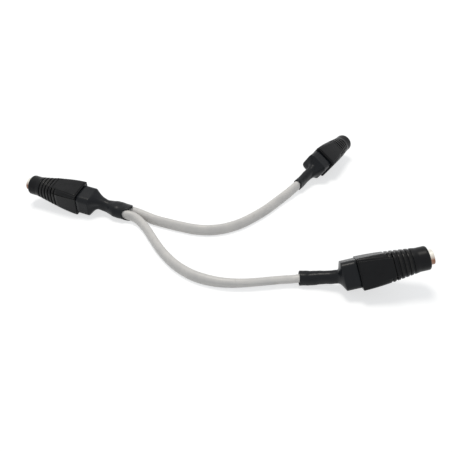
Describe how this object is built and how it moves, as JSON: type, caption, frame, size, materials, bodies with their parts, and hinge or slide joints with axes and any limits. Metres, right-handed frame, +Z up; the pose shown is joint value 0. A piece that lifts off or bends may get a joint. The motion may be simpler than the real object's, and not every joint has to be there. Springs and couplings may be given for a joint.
{
  "type": "dc splitter cable",
  "caption": "Low-voltage DC splitter lead: an in-line barrel socket joined by flat white cables to further in-line barrel sockets, with ribbed black housings and heat-shrink boots",
  "frame": {"origin": "floor level, under the middle of the three connectors", "axes": "+X runs from the left connector towards the other two, +Y towards the far connector, +Z up"},
  "size_m": [0.2065, 0.1379, 0.0232],
  "materials": {
    "housing": "fine matt moulding",
    "shrink_sleeve": "satin shrunk sleeve",
    "core_plastic": "matt moulding",
    "nickel": "bright nickel plate",
    "contact_brass": "bare stamped brass",
    "cable_jacket": "smooth off-white soft plastic",
    "red_insulation": "satin",
    "black_insulation": "satin"
  },
  "bodies": {
    "root": {"left_housing_body": "housing", "left_housing_cover": "housing", "left_insulator": "core_plastic", "left_socket_sleeve": "nickel", "left_centre_pin": "nickel", "left_contact_spring": "contact_brass", "left_tag_plus": "contact_brass", "left_tag_minus": "contact_brass", "left_boot": "shrink_sleeve", "left_cable_end_near": "cable_jacket", "left_cable_end_far": "cable_jacket", "left_red_core_near": "red_insulation", "left_red_core_far": "red_insulation", "left_black_core_near": "black_insulation", "left_black_core_far": "black_insulation", "right_housing_body": "housing", "right_housing_cover": "housing", "right_insulator": "core_plastic", "right_socket_sleeve": "nickel", "right_centre_pin": "nickel", "right_contact_spring": "contact_brass", "right_tag_plus": "contact_brass", "right_tag_minus": "contact_brass", "right_boot": "shrink_sleeve", "right_cable_end": "cable_jacket", "right_red_core": "red_insulation", "right_black_core": "black_insulation", "far_housing_body": "housing", "far_housing_cover": "housing", "far_insulator": "core_plastic", "far_socket_sleeve": "nickel", "far_centre_pin": "nickel", "far_contact_spring": "contact_brass", "far_tag_plus": "contact_brass", "far_tag_minus": "contact_brass", "far_boot": "shrink_sleeve", "far_cable_end": "cable_jacket", "far_red_core": "red_insulation", "far_black_core": "black_insulation", "cable_near": "cable_jacket", "cable_far": "cable_jacket"}
  },
  "joints": []
}
